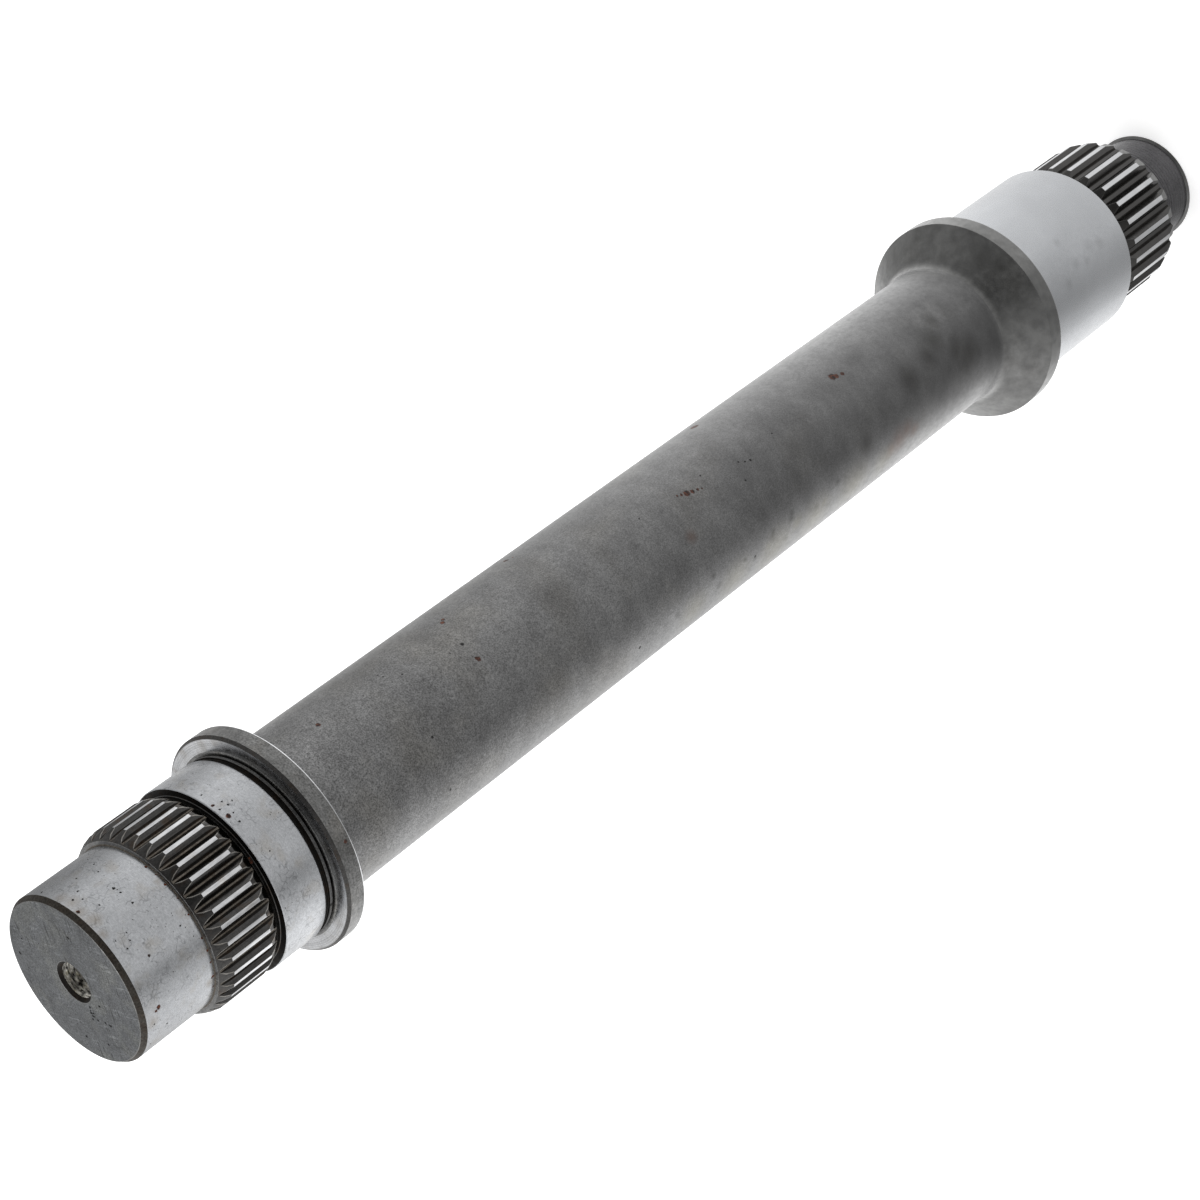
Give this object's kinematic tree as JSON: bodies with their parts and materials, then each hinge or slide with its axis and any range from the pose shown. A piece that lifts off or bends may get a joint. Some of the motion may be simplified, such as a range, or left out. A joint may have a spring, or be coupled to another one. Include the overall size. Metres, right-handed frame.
{
  "type": "gearbox output shaft",
  "caption": "Solid steel output shaft with a pilot, two outside splines, two ground bearing seats, a collar beside each seat and a threaded end.",
  "frame": {"origin": "centre of the threaded end's face, where the shaft's axis meets the surface it stands on", "axes": "+Z along the shaft's axis from the threaded end to the pilot end; a tooth of the drive spline is centred on +X"},
  "size_m": [0.0696, 0.0694, 0.5081],
  "materials": {
    "steel": "case-hardened alloy steel, satin turned body, bright ground seats, dark flanks and thread"
  },
  "bodies": {
    "root": {"output_shaft": "steel"}
  },
  "joints": []
}
